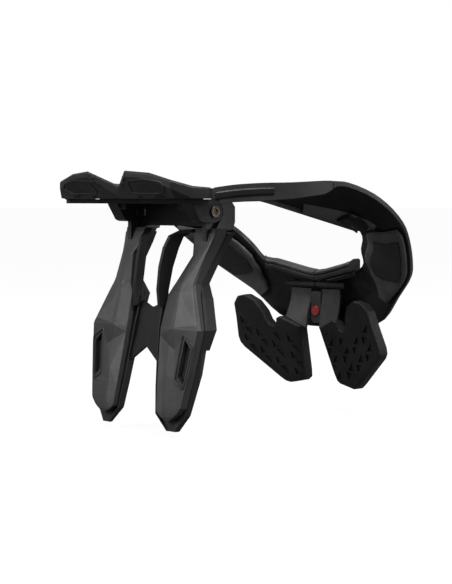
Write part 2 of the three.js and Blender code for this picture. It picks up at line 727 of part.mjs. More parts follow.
function hingePin() {
  const headDepth = 1.6;
  const rod = crossRod(lugInner - 0.6, lugOuter + 0.5, strutAxisY, strutAxisZ, strutPinRadius);
  const [headStart, tailEnd] = [lugOuter + pieceGap, lugInner - pieceGap];
  const head = crossRod(headStart, headStart + headDepth, strutAxisY, strutAxisZ, pinHeadRadius);
  const tail = crossRod(tailEnd - 1.2, tailEnd, strutAxisY, strutAxisZ, pinHeadRadius - 0.6);
  const socket = crossRod(lugOuter + 0.7, lugOuter + 4, strutAxisY, strutAxisZ, pinHeadRadius * 0.5, 6);
  return cut(join(rod, head, tail), socket);
}

function sidePin() {
  return uprightRod(sideAxis.x, sideAxis.y, sidePinRadius, yokeTop - yokePlate + 0.2, yokeTop + 5.4);
}

// Back strut: how far back its rear face stands at each height, which is a share of the strut's length
const strutLeanRows = [
  { z: 0.16, y: -83 }, { z: 0.06, y: -88 }, { z: -0.03, y: -93 }, { z: -0.247, y: -109 },
  { z: -0.469, y: -118 }, { z: -0.87, y: -128.5 }, { z: -1.02, y: -131.5 },
];

function strutFaceY(z) {
  const share = z / strutLength;
  const i = Math.max(0, strutLeanRows.slice(1).findIndex((row) => share >= row.z));
  const a = strutLeanRows[i];
  const b = strutLeanRows[i + 1];
  return mix(a.y, b.y, (share - a.z) / (b.z - a.z));
}

// Outline of the grey shell: height as a share of the length, and edges and ridge as shares of the span
const shellRows = [
  { z: 0.055, inner: 0.45, ridge: 0.62, outer: 0.86, crown: 0.3, depth: 1 },
  { z: -0.012, inner: 0.475, ridge: 0.64, outer: 0.83, crown: 0.5, depth: 1 },
  { z: -0.086, inner: 0.553, ridge: 0.67, outer: 0.785, crown: 0.8, depth: 1 },
  { z: -0.235, inner: 0.403, ridge: 0.56, outer: 0.745, crown: 1.2, depth: 0.7 },
  { z: -0.292, inner: 0.32, ridge: 0.535, outer: 0.81, crown: 1.6, depth: 0.55 },
  { z: -0.469, inner: 0.29, ridge: 0.52, outer: 1, crown: 2.4, depth: 0.46 },
  { z: -0.7, inner: 0.335, ridge: 0.55, outer: 0.925, crown: 2.2, depth: 0.46 },
  { z: -0.87, inner: 0.377, ridge: 0.58, outer: 0.859, crown: 1.8, depth: 0.44 },
  { z: -0.904, inner: 0.393, ridge: 0.592, outer: 0.79, crown: 1.6, depth: 0.42 },
  { z: -0.944, inner: 0.54, ridge: 0.612, outer: 0.66, crown: 1, depth: 0.4 },
];

function strutShell() {
  const blade = loft(shellRows.map((row) => {
    const z = row.z * strutLength;
    const face = strutFaceY(z);
    const [inner, ridge, outer] = [row.inner, row.ridge, row.outer].map((share) => share * strutHalfSpan);
    const depth = row.depth * neckThickness;
    const chamfer = 1.6;
    const shoulder = face - row.crown * 0.4;
    return [
      vec(inner + chamfer, shoulder, z), vec(ridge, face - row.crown, z), vec(outer - chamfer, shoulder, z),
      vec(outer, face + 1.8, z), vec(outer, face + depth, z),
      vec(inner, face + depth, z), vec(inner, face + 1.8, z),
    ];
  }));
  const slot = standingPlate(slotCorners(0), -145, -95);
  const trunkTop = strutAxisZ;
  const tongue = join(
    crossRod(tongueInner, tongueOuter, strutAxisY, strutAxisZ, 7.6),
    block(tongueInner, tongueOuter, strutAxisY - 5.5, strutAxisY + 7, -2, trunkTop),
  );
  const noseGap = 0.7;
  const headCorners = [
    ...arcCorners(strutAxisY, strutAxisZ, lugNose + noseGap, -42, 44, 6),
    [strutAxisY + lugNose + 1.5, strutAxisZ + 9.6],
    [strutAxisY + 20, strutAxisZ + 9], [strutAxisY + 24, strutAxisZ + 4],
    [strutAxisY + 24, strutAxisZ - 9], [strutAxisY + 21.5, 8], [strutAxisY + 10, 6.5], [strutAxisY + 6.4, -3],
    [strutAxisY + 1, -3],
    [strutAxisY + 2, 8],
  ];
  const head = plateAcross(headCorners, lugInner - 3, lugOuter);
  const boreRadius = strutPinRadius + boreClearance;
  const pinBore = crossRod(tongueInner - 2, tongueOuter + 2, strutAxisY, strutAxisZ, boreRadius);
  return cut(join(cut(blade, slot), tongue, head), pinBore);
}

// The slanted slot in the shell, drawn in shares of the span and the length, and shrunk for its insert
function slotCorners(shrink) {
  const corners = [[0.785, -0.518], [0.9, -0.565], [0.836, -0.752], [0.728, -0.712]];
  const centre = corners.reduce(([a, b], [x, z]) => [a + x / 4, b + z / 4], [0, 0]);
  return corners.map(([x, z]) => {
    const reach = [(x - centre[0]) * strutHalfSpan, (z - centre[1]) * strutLength];
    const size = Math.hypot(...reach);
    const keep = (size - shrink * 1.9) / size;
    return [centre[0] * strutHalfSpan + reach[0] * keep, centre[1] * strutLength + reach[1] * keep];
  });
}

function strutSlot() {
  const corners = slotCorners(0.5);
  const section = (offset) => corners.map(([x, z]) => vec(x, strutFaceY(z) + offset, z));
  return loft([section(2.4), section(4.8)]);
}

// The black back frame of the strut: edges as shares of the span, then its start and fronts behind the face
const frameRows = [
  { z: 0.03, inner: 0.58, outer: 0.88, start: 13, innerFront: 22.5, outerFront: 22.5, flange: 0 },
  { z: -0.03, inner: 0.6, outer: 0.8, start: 12.6, innerFront: 22, outerFront: 22.5, flange: 0 },
  { z: -0.11, inner: 0.6, outer: 0.765, start: 12.6, innerFront: 20, outerFront: 22, flange: 0 },
  { z: -0.235, inner: 0.45, outer: 0.73, start: 9.4, innerFront: 17, outerFront: 20.5, flange: 0 },
  { z: -0.3, inner: 0.21, outer: 0.84, start: 7.6, innerFront: 13.5, outerFront: 20, flange: 0 },
  { z: -0.31, inner: 0.2, outer: 0.86, start: 7.2, innerFront: 12.5, outerFront: 20, flange: 1 },
  { z: -0.469, inner: 0.22, outer: 1.02, start: 6.2, innerFront: 11, outerFront: 20, flange: 1 },
  { z: -0.6, inner: 0.25, outer: 0.95, start: 6.2, innerFront: 10.5, outerFront: 18, flange: 1 },
  { z: -0.78, inner: 0.3, outer: 0.885, start: 6, innerFront: 10, outerFront: 15.5, flange: 1 },
  { z: -0.915, inner: 0.35, outer: 0.84, start: 5.8, innerFront: 9.5, outerFront: 13, flange: 1 },
  { z: -1, inner: 0.54, outer: 0.7, start: 5, innerFront: 9, outerFront: 11, flange: 0 },
];

function frameSection(row) {
  const z = row.z * strutLength;
  const face = strutFaceY(z);
  const inner = row.inner * strutHalfSpan;
  const outer = row.outer * strutHalfSpan;
  const start = face + row.start;
  const lift = face + mix(row.start - 0.6, 2, row.flange);
  const bevel = 0.16 * padThickness;
  return [
    vec(inner, lift, z), vec(inner + 1.6, lift, z), vec(inner + 2.2, start, z), vec(outer - bevel, start, z),
    vec(outer, start + bevel, z), vec(outer, face + row.outerFront - bevel, z),
    vec(outer - bevel, face + row.outerFront, z), vec(inner + bevel, face + row.innerFront, z),
    vec(inner, face + row.innerFront - bevel, z),
  ];
}

// The bowed inner blade of the frame, which leaves the neck's side and comes down beside the spine
const bladeRows = [
  { z: 0.04, x: 0.41, y: -87, depth: 8, lean: 0.1 },
  { z: 0.036, x: 0.33, y: -93, depth: 10, lean: 0.2 },
  { z: 0.012, x: 0.27, y: -100, depth: 12, lean: 0.3 },
  { z: -0.05, x: 0.245, y: -104.5, depth: 12, lean: 0.4 },
  { z: -0.15, x: 0.225, y: -109, depth: 11, lean: 0.35 },
  { z: -0.27, x: 0.215, y: -112, depth: 10, lean: 0.2 },
  { z: -0.36, x: 0.215, y: -112, depth: 8, lean: 0.1 },
];

function innerBlade() {
  const bladeThickness = 3.2;
  const middles = bladeRows.map(({ x, y, z }) => (
    vec(x * strutHalfSpan + bladeThickness / 2, y, z * strutLength)
  ));
  return loft(bladeRows.map((row, i) => {
    const before = middles[Math.max(i - 1, 0)];
    const after = middles[Math.min(i + 1, middles.length - 1)];
    const path = after.clone().sub(before).setY(0).normalize();
    const side = vec(-path.z, 0, path.x).multiplyScalar(bladeThickness / 2);
    const lean = row.lean * row.depth;
    return [
      middles[i].clone().add(side).add(vec(-lean / 2, -row.depth / 2, 0)),
      middles[i].clone().sub(side).add(vec(-lean / 2, -row.depth / 2, 0)),
      middles[i].clone().sub(side).add(vec(lean / 2, row.depth / 2, 0)),
      middles[i].clone().add(side).add(vec(lean / 2, row.depth / 2, 0)),
    ];
  }));
}

function strutPad() {
  const [notchInner, notchOuter] = [strutHalfSpan * 0.89, strutHalfSpan * 1.1];
  const notch = block(notchInner, notchOuter, -112, -90, -0.745 * strutLength, -0.575 * strutLength);
  return join(cut(loft(frameRows.map(frameSection)), notch), innerBlade());
}

// The plate between the two struts, with a V notch above and below and a small window
function strutWeb() {
  const innerEdge = (z) => {
    const share = z / strutLength;
    const i = frameRows.slice(1).findIndex((row) => share >= row.z);
    const a = frameRows[i];
    const b = frameRows[i + 1];
    return mix(a.inner, b.inner, (share - a.z) / (b.z - a.z)) * strutHalfSpan - pieceGap;
  };
  const top = -0.335 * strutLength;
  const bottom = -0.655 * strutLength;
  const heights = [top, -0.469 * strutLength, -0.6 * strutLength, bottom];
  const right = heights.map((z) => [innerEdge(z), z]);
  const left = right.map(([x, z]) => [-x, z]).reverse();
  const [notchTop, notchFoot] = [-0.365 * strutLength, -0.575 * strutLength];
  const outline = [...right, [0, notchFoot], ...left, [-2, notchTop], [2, notchTop]];
  const flat = new THREE.ExtrudeGeometry(shapeOf(outline), { depth: webThickness, bevelEnabled: false });
  const slope = (strutFaceY(top) - strutFaceY(bottom)) / (top - bottom);
  const start = strutFaceY(top) - slope * top + 3.6;
  flat.applyMatrix4(new THREE.Matrix4().set(1, 0, 0, 0, 0, slope, 1, start, 0, 1, 0, 0, 0, 0, 0, 1));
  return turnedOver(flat);
}

// Finishes: colour, roughness and metalness as the object shows them
const finishes = {
  chassis: { color: 0x262627, roughness: 0.55, metalness: 0 },
  rim: { color: 0x3a3a3b, roughness: 0.5, metalness: 0 },
  strutGrey: { color: 0x4a4a4b, roughness: 0.48, metalness: 0 },
  rubber: { color: 0x171718, roughness: 0.8, metalness: 0 },
  foam: { color: 0x161617, roughness: 0.85, metalness: 0 },
  fabric: { color: 0x121213, roughness: 0.95, metalness: 0 },
  strap: { color: 0x2b2b2c, roughness: 0.6, metalness: 0 },
  steel: { color: 0x6a645c, roughness: 0.35, metalness: 1 },
  red: { color: 0xa62a28, roughness: 0.4, metalness: 0 },
};

function piece(name, geometry, finish) {
  const mesh = new THREE.Mesh(geometry, new THREE.MeshStandardMaterial(finishes[finish]));
  mesh.name = name;
  return mesh;
}

// The mirror image across the plane X = 0
const mirrored = (geometry) => turnedOver(geometry.clone().scale(-1, 1, 1));

const brace = new THREE.Group();
const pairs = [
  ['side_shell', sideShell, 'rim'], ['side_plate', sidePlate, 'chassis'], ['inner_lip', innerLip, 'rim'],
  ['brow_block', browBlock, 'rubber'], ['front_wing', frontWing, 'chassis'], ['wing_pad', wingPad, 'rim'],
  ['wing_mesh', wingMesh, 'fabric'], ['collar_pad', collarPad, 'rubber'], ['collar_rail', collarRail, 'rim'],
  ['strap_bar', strapBar, 'chassis'], ['chest_strap', chestStrap, 'strap'], ['chest_pad', chestPad, 'foam'],
  ['strut_shell', strutShell, 'strutGrey'], ['strut_slot', strutSlot, 'rubber'],
  ['strut_pad', strutPad, 'rubber'],
  ['hinge_pin', hingePin, 'steel'], ['side_pin', sidePin, 'steel'],
];
for (const [name, make, finish] of pairs) {
  const geometry = make();
  brace.add(piece(`${name}_right`, geometry, finish));
  brace.add(piece(`${name}_left`, mirrored(geometry), finish));
}
brace.add(piece('rear_table', rearTable(), 'chassis'));
brace.add(piece('rear_yoke', rearYoke(), 'chassis'));
brace.add(piece('strut_web', strutWeb(), 'chassis'));
brace.add(piece('latch_housing', latchHousing(), 'strap'));
brace.add(piece('latch_tongue', latchTongue(), 'chassis'));
brace.add(piece('release_button', releaseButton(), 'red'));

export default brace;
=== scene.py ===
import math

import bmesh
import bpy
import numpy as np

from mathutils.bvhtree import BVHTree
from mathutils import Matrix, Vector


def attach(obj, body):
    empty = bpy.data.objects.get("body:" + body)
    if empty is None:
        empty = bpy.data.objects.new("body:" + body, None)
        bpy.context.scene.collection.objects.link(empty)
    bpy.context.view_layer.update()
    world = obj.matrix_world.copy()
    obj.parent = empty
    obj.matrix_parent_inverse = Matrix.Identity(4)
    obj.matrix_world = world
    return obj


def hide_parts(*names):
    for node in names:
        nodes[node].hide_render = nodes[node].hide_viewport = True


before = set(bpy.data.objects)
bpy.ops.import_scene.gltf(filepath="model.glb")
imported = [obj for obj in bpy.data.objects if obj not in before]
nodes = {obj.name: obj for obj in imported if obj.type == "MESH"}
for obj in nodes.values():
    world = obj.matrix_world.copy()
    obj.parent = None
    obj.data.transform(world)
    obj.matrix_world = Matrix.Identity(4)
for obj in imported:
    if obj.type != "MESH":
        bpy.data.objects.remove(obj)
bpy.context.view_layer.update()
print("frame loaded,", len(nodes), "nodes")


# Shader maths as Python expressions: a socket that adds Math nodes when it is used in a sum
class Wire:
    def __init__(self, look, out):
        self.look = look
        self.out = out

    def math(self, operation, first, second=0.0):
        return self.look.node("ShaderNodeMath", {"operation": operation}, {0: first, 1: second})

    def __add__(self, other):
        return self.math("ADD", self, other)

    def __sub__(self, other):
        return self.math("SUBTRACT", self, other)

    def __rsub__(self, other):
        return self.math("SUBTRACT", other, self)

    def __mul__(self, other):
        return self.math("MULTIPLY", self, other)

    def __gt__(self, other):
        return self.math("GREATER_THAN", self, other)

    def sine(self):
        return self.math("SINE", self)

    def size(self):
        return self.math("ABSOLUTE", self)

    # From 0 below low to 1 above high, with soft ends
    def rise(self, low, high):
        settings = {"interpolation_type": "SMOOTHSTEP"}
        sockets = {"Value": self, "From Min": low, "From Max": high}
        return self.look.node("ShaderNodeMapRange", settings, sockets)


class Look:
    def __init__(self, name):
        self.material = bpy.data.materials.new(name)
        self.material.use_nodes = True
        self.tree = self.material.node_tree
        self.shader = self.tree.nodes["Principled BSDF"]

    def node(self, kind, settings=None, sockets=None, out=0):
        made = self.tree.nodes.new(kind)
        for key, value in (settings or {}).items():
            setattr(made, key, value)
        for key, value in (sockets or {}).items():
            self.plug(made.inputs[key], value)
        return Wire(self, made.outputs[out])

    def plug(self, socket, value):
        if isinstance(value, Wire):
            self.tree.links.new(value.out, socket)
        else:
            socket.default_value = value

    def place(self):
        return self.node("ShaderNodeTexCoord", out="Object")

    def axes(self):
        split = self.node("ShaderNodeSeparateXYZ", None, {0: self.place()})
        return [Wire(self, split.out.node.outputs[i]) for i in range(3)]

    def noise(self, scale, detail, roughness=0.55):
        sockets = {"Vector": self.place(), "Scale": scale, "Detail": detail, "Roughness": roughness}
        return self.node("ShaderNodeTexNoise", None, sockets)

    # A colour between two others, by a share
    def blend(self, share, low, high):
        sockets = {"Factor": share, 6: low, 7: high}
        return self.node("ShaderNodeMix", {"data_type": "RGBA"}, sockets, out=2)

    def bump(self, height, distance):
        return self.node("ShaderNodeBump", None, {"Height": height, "Distance": distance, "Strength": 1.0})

    def finish(self, **sockets):
        for name, value in sockets.items():
            self.plug(self.shader.inputs[name.replace("_", " ")], value)
        return self.material


# A display grey or colour as the shader's linear values
def tone(*shares):
    if len(shares) == 1:
        shares = shares * 3
    linear = [s / 12.92 if s <= 0.04045 else ((s + 0.055) / 1.055) ** 2.4 for s in shares]
    return (*linear, 1.0)


# Moulded plastic: cells per metre of its cloudy shade, rubbed patches and fine grain, the share by which the
# shade goes darker and lighter, and how far the patches spread the roughness
plastic = {"shadeScale": 34, "wearScale": 110, "grainScale": 2600, "cloud": 0.12, "wear": 0.12}


def cloudyGrey(look, grey, cloud=plastic["cloud"]):
    shade = look.noise(plastic["shadeScale"], 5).rise(0.3, 0.7)
    return look.blend(shade, tone(grey * (1 - cloud)), tone(grey * (1 + cloud)))


def rubbedPatches(look):
    return look.noise(plastic["wearScale"], 6, 0.7).rise(0.35, 0.75)


def mouldedLook(name, grey, rough, grain, cloud=plastic["cloud"]):
    look = Look(name)
    return look.finish(
        Base_Color=cloudyGrey(look, grey, cloud),
        Roughness=rubbedPatches(look) * plastic["wear"] + (rough - plastic["wear"] / 2),
        Specular_IOR_Level=0.3,
        Normal=look.bump(look.noise(plastic["grainScale"], 2), grain),
    )


chassisLook = mouldedLook("chassisPlastic", 0.13, 0.4, 0.00012)
rimLook = mouldedLook("rimPlastic", 0.15, 0.36, 0.0001)
lipLook = mouldedLook("lipPlastic", 0.34, 0.34, 0.0001)
panelLook = mouldedLook("panelRim", 0.32, 0.36, 0.0001)
plateLook = mouldedLook("platePlastic", 0.07, 0.42, 0.0001)
rubberLook = mouldedLook("frameRubber", 0.065, 0.5, 0.0002, 0.18)
frameLook = mouldedLook("strutFrame", 0.13, 0.42, 0.00015)
foamLook = mouldedLook("padFoam", 0.125, 0.48, 0.0003, 0.16)
collarLook = mouldedLook("collarRubber", 0.2, 0.36, 0.0001)
# Nearly black, for painted shade: the flat inlays that stand for the rear table's dashes, hole, notch and slots
paintedShadeLook = mouldedLook("paintedShadeRecess", 0.02, 0.7, 0.0001)
strapLook = mouldedLook("strapSatin", 0.23, 0.32, 0.00008)


# The arch: as the moulded plastic, but with painted shade: its faces that turn downwards, the hollow underside,
# are painted nearly black
def archLook(name, grey, rough, paintedShadeGrey):
    look = Look(name)
    # Painted shade: a share from 0 to 1 as the world normal turns downwards, which darkens the colour and
    # roughens the surface
    turned = look.node("ShaderNodeNewGeometry", out="Normal")
    facing = look.node("ShaderNodeSeparateXYZ", None, {0: turned}, out=2)
    paintedUnderShade = (facing * -1.0).rise(0.62, 0.86)
    return look.finish(
        Base_Color=look.blend(paintedUnderShade, cloudyGrey(look, grey), tone(paintedShadeGrey)),
        Roughness=rubbedPatches(look) * plastic["wear"] + paintedUnderShade * 0.3 + (rough - plastic["wear"] / 2),
        Specular_IOR_Level=0.25,
        Normal=look.bump(look.noise(plastic["grainScale"], 2), 0.0001),
    )


# The last value is the nearly black grey of the painted shade under the arch
shellLook = archLook("archShell", 0.2, 0.34, 0.02)
wingLook = archLook("archWing", 0.17, 0.36, 0.03)


# Hairlines across the strut faces: their heights and half their width
hairlines = {"heights": (-0.0455, -0.0752, -0.1245), "halfWidth": 0.00035}


# Grey moulded struts: each facet has its own painted light and shade on top of its real tilt, a blend from a
# shaded grey to a lit grey, and violet hairlines cross the face
def strutLook():
    look = Look("strutPlastic")
    z = look.axes()[2]
    shade = look.noise(60, 6, 0.7).rise(0.3, 0.7)
    # Painted light and shade: each facet's share from the shaded grey to the lit grey
    paintedLightShare = look.node("ShaderNodeAttribute", {"attribute_name": "paintedFacetLight"}, out="Fac")
    paintedShadedGrey = look.blend(shade, tone(0.15), tone(0.18))
    paintedLitGrey = look.blend(shade, tone(0.3, 0.295, 0.3), tone(0.345, 0.34, 0.345))
    base = look.blend(paintedLightShare, paintedShadedGrey, paintedLitGrey)
    hair = 0.0
    for height in hairlines["heights"]:
        hair = 1.0 - ((z - height).size() * (1 / hairlines["halfWidth"])).rise(0.6, 1.0) + hair
    base = look.blend(hair * 0.6 * (paintedLightShare > 0.001), base, tone(0.27, 0.28, 0.4))
    return look.finish(
        Base_Color=base,
        Roughness=look.noise(90, 5, 0.7).rise(0.3, 0.7) * 0.1 + 0.4,
        Normal=look.bump(look.noise(3200, 2), 0.00008),
    )


strutGrey = strutLook()


def steelLook():
    look = Look("pinSteel")
    brushed = look.node("ShaderNodeMapping", None, {"Vector": look.place(), "Scale": (40, 900, 900)})
    streaks = look.node("ShaderNodeTexNoise", None, {"Vector": brushed, "Scale": 3.0, "Detail": 3.0})
    return look.finish(
        Base_Color=look.blend(streaks, tone(0.3, 0.28, 0.25), tone(0.42, 0.39, 0.35)),
        Metallic=1.0,
        Roughness=streaks * 0.2 + 0.25,
        Normal=look.bump(streaks, 0.00008),
    )


def redLook():
    look = Look("buttonRed")
    cloud = look.noise(160, 4)
    return look.finish(
        Base_Color=look.blend(cloud, tone(0.52, 0.12, 0.13), tone(0.68, 0.2, 0.2)),
        Roughness=cloud * 0.15 + 0.32,
        Normal=look.bump(look.noise(2400, 2), 0.00008),
    )


netPitch = 0.0026


def netLook():
    look = Look("wingNet")
    x, y, z = look.axes()
    rows = 2 * math.pi / netPitch
    weave = ((x + y * 0.7) * rows).sine() * ((z + y * 0.4) * rows).sine()
    hole = weave.rise(-0.2, 0.6)
    return look.finish(
        Base_Color=look.blend(hole, tone(0.19), tone(0.07)),
        Roughness=0.6,
        Normal=look.bump(hole * -1.0, 0.0005),
    )


pinSteel = steelLook()
buttonRed = redLook()
wingNet = netLook()
print("materials made")


def newPiece(name, mesh, body, look):
    piece = bpy.data.objects.new(name, mesh)
    bpy.context.scene.collection.objects.link(piece)
    mesh.materials.clear()
    mesh.materials.append(look)
    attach(piece, body)
    return piece


# Degrees from which an edge is rounded, and below which neighbouring triangles are joined to one face
plainEdges = {"angle": 26, "flatness": 0.6}
curvedEdges = {"angle": 50, "flatness": 4}


# Rounds a piece's edges: a bevel where two faces meet at more than the angle, and even shading over flat
# faces
def roundEdges(piece, width, angle=plainEdges["angle"]):
    bevel = piece.modifiers.new("roundedEdges", "BEVEL")
    bevel.width = width
    bevel.segments = 2
    bevel.limit_method = "ANGLE"
    bevel.angle_limit = math.radians(angle)
    bevel.use_clamp_overlap = True
    even = piece.modifiers.new("evenShade", "WEIGHTED_NORMAL")
    even.keep_sharp = False
    piece.data.polygons.foreach_set("use_smooth", np.ones(len(piece.data.polygons), bool))


# A node's solid with its triangles joined to faces and its edges rounded
def edgedCopy(node, width, body, look, edges=plainEdges):
    solid = bmesh.new()
    solid.from_mesh(nodes[node].data)
    bmesh.ops.remove_doubles(solid, verts=solid.verts, dist=1e-5)
    flatness = math.radians(edges["flatness"])
    bmesh.ops.dissolve_limit(solid, angle_limit=flatness, verts=solid.verts, edges=solid.edges)
    mesh = bpy.data.meshes.new(node)
    solid.to_mesh(mesh)
    solid.free()
    piece = newPiece(node + "_skin", mesh, body, look)
    roundEdges(piece, width, edges["angle"])
    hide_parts(node)
    return piece


# The camera set for the photograph. The azimuth is chosen, as the photograph leaves it open
view = {
    "place": (1.0587, -1.00926, 0.033548), "azimuth": 47.0, "elevation": 3.3036, "lens": 98.96,
    "sensor": 36.0, "frameWidth": 452, "frameHeight": 584,
}


# The direction in which the camera sees a place of the photograph's frame
def seenAlong(across, down):
    turn, tilt = math.radians(view["azimuth"]), math.radians(view["elevation"])
    back = Vector((math.sin(turn) * math.cos(tilt), -math.cos(turn) * math.cos(tilt), math.sin(tilt)))
    right = Vector((math.cos(turn), math.sin(turn), 0))
    reach = view["lens"] / view["sensor"] * view["frameHeight"]
    ahead = right * (across - view["frameWidth"] / 2) + back.cross(right) * (view["frameHeight"] / 2 - down)
    return (ahead / reach - back).normalized()


sides = ("right", "left")
frontBody = {"right": "front_right", "left": "front_left"}

# Edge rounding in metres, and the finish, of each pair of rigid pieces
frontTrim = {
    "side_shell": (0.0009, "rim", shellLook),
    "side_plate": (0.0004, "chassis", plateLook),
    "inner_lip": (0.0009, "rim", lipLook),
    "brow_block": (0.0006, "rubber", rubberLook),
    "front_wing": (0.0009, "chassis", wingLook),
    "wing_pad": (0.0008, "rim", panelLook),
    "wing_mesh": (0.0003, "fabric", wingNet),
    "collar_pad": (0.0012, "rubber", collarLook),
    "collar_rail": (0.0003, "rim", rimLook),
    "strap_bar": (0.0006, "chassis", chassisLook),
    "chest_strap": (0.0004, "strap", strapLook),
    "chest_pad": (0.0005, "foam", foamLook),
}
curvedPieces = ("collar_pad", "collar_rail", "inner_lip")
strutTrim = {
    "strut_shell": (0.0008, "strut_grey", strutGrey),
    "strut_slot": (0.0003, "rubber", rubberLook),
    "strut_pad": (0.001, "rubber", frameLook),
}
pinTrim = {
    "hinge_pin": (0.0003, "steel", pinSteel),
    "side_pin": (0.0003, "steel", pinSteel),
}
singleTrim = {
    "rear_table": (0.0011, "frame", "chassis", chassisLook),
    "rear_yoke": (0.0008, "frame", "chassis", chassisLook),
    "strut_web": (0.0005, "back_struts", "chassis", plateLook),
    "latch_housing": (0.0006, "front_left", "strap", strapLook),
    "latch_tongue": (0.0004, "front_right", "chassis", chassisLook),
    "release_button": (0.0005, "release_button", "red", buttonRed),
}
for side in sides:
    for name, (width, slot, look) in frontTrim.items():
        edges = curvedEdges if name in curvedPieces else plainEdges
        edgedCopy(f"{name}_{side}", width, frontBody[side], look, edges)
    for name, (width, slot, look) in strutTrim.items():
        edgedCopy(f"{name}_{side}", width, "back_struts", look)
    for name, (width, slot, look) in pinTrim.items():
        edgedCopy(f"{name}_{side}", width, "frame", look)
for name, (width, body, slot, look) in singleTrim.items():
    edgedCopy(name, width, body, look)
print("edged pieces made")

# The struts' faceted faces. Sections of the blade by height, as shares of its length, with its inner, ridge and
# outer edge as shares of the half span, how far the ridge stands out in mm, and where its rear face lies in Y
strut = {
    "halfSpan": 70.5, "length": 162, "shoulder": 1.6, "shoulderRise": 0.4, "proud": 0.2, "thickness": 0.9,
    "cuts": 9,
    "height": (0.055, -0.012, -0.086, -0.235, -0.292, -0.469, -0.7, -0.87, -0.904, -0.944),
    "inner": (0.45, 0.475, 0.553, 0.403, 0.32, 0.29, 0.335, 0.377, 0.393, 0.54),
    "ridge": (0.62, 0.64, 0.67, 0.56, 0.535, 0.52, 0.55, 0.58, 0.592, 0.612),
    "outer": (0.86, 0.83, 0.785, 0.745, 0.81, 1.0, 0.925, 0.859, 0.79, 0.66),
    "crown": (0.3, 0.5, 0.8, 1.2, 1.6, 2.4, 2.2, 1.8, 1.6, 1.0),
    "leanHeight": (0.16, 0.06, -0.03, -0.247, -0.469, -0.87, -1.02),
    "leanY": (-83.0, -88.0, -93.0, -109.0, -118.0, -128.5, -131.5),
}
# Corners of the facets: share across the blade, share of its length, and how far they stand out in mm
facetCorners = {
    "neckIn": (0.04, 0.03, 0), "neckOut": (0.97, 0.03, 0),
    "waistIn": (0.06, -0.235, 0), "waistOut": (0.97, -0.22, 0),
    "chestIn": (0.05, -0.3, 0.1), "crest": (0.52, -0.27, 1.0), "shoulderOut": (0.975, -0.44, 0.1),
    "spine": (0.43, -0.46, 1.3), "apex": (0.04, -0.505, 0.1), "heart": (0.5, -0.575, 0.4),
    "slotTop": (0.665, -0.5, 0.5), "slotTopOut": (0.93, -0.55, 0.2), "slotFoot": (0.635, -0.725, 0.4),
    "slotFootOut": (0.9, -0.775, 0.2), "sideOut": (0.975, -0.62, 0.1), "knot": (0.3, -0.7, 1.5),
    "shinIn": (0.05, -0.79, 0), "ridgeFoot": (0.3, -0.925, 0.3), "footIn": (0.06, -0.925, 0),
    "footOut": (0.95, -0.925, 0), "calfOut": (0.965, -0.82, 0.1),
}
# Facets by their corners, each with its painted light and shade: 0 paints it the shaded grey, 1 the lit grey
facets = (
    ("neckIn crest neckOut", 0.35), ("neckOut crest waistOut", 0.5), ("neckIn waistIn crest", 0.2),
    ("waistIn chestIn crest", 0.1), ("chestIn spine crest", 0.3), ("crest spine shoulderOut", 0.75),
    ("crest shoulderOut waistOut", 0.45), ("chestIn apex spine", 0.3), ("apex heart spine", 0.05),
    ("spine heart slotTop", 0.02), ("spine slotTop shoulderOut", 0.1),
    ("slotTop slotTopOut shoulderOut", 0.1),
    ("slotTopOut sideOut shoulderOut", 0.3), ("apex knot heart", 0.45), ("heart knot slotFoot", 0.3),
    ("heart slotFoot slotTop", 0.3), ("apex shinIn knot", 0.95), ("slotFootOut calfOut sideOut", 0.3),
    ("slotTopOut slotFootOut sideOut", 0.3), ("knot shinIn ridgeFoot", 0.7),
    ("shinIn footIn ridgeFoot", 0.55), ("knot ridgeFoot slotFoot", 0.35), ("slotFoot ridgeFoot footOut", 0.25),
    ("slotFoot footOut slotFootOut", 0.2), ("slotFootOut footOut calfOut", 0.25),
)


# A place on the blade's rear face: across and down by shares, then out by the lift, in mm
def strutFacePlace(across, down, lift, side):
    def at(column):
        return np.interp(-down, [-h for h in strut["height"]], strut[column])
    span = strut["halfSpan"]
    inner, outer, ridge = at("inner") * span, at("outer") * span, at("ridge") * span
    x = inner + across * (outer - inner)
    crown, low, edge = at("crown"), strut["shoulderRise"], strut["shoulder"]
    slopeIn = low + (1 - low) * (x - inner - edge) / (ridge - inner - edge)
    slopeOut = low + (1 - low) * (outer - edge - x) / (outer - edge - ridge)
    fromIn = np.where(x < inner + edge, (x - inner) / edge * low, slopeIn)
    fromOut = np.where(x > outer - edge, (outer - x) / edge * low, slopeOut)
    rise = np.minimum(fromIn, fromOut) * crown
    face = np.interp(-down, [-h for h in strut["leanHeight"]], strut["leanY"])
    sign = 1 if side == "right" else -1
    return np.stack([sign * x, face - rise - strut["proud"] - lift, down * strut["length"]], -1) / 1000


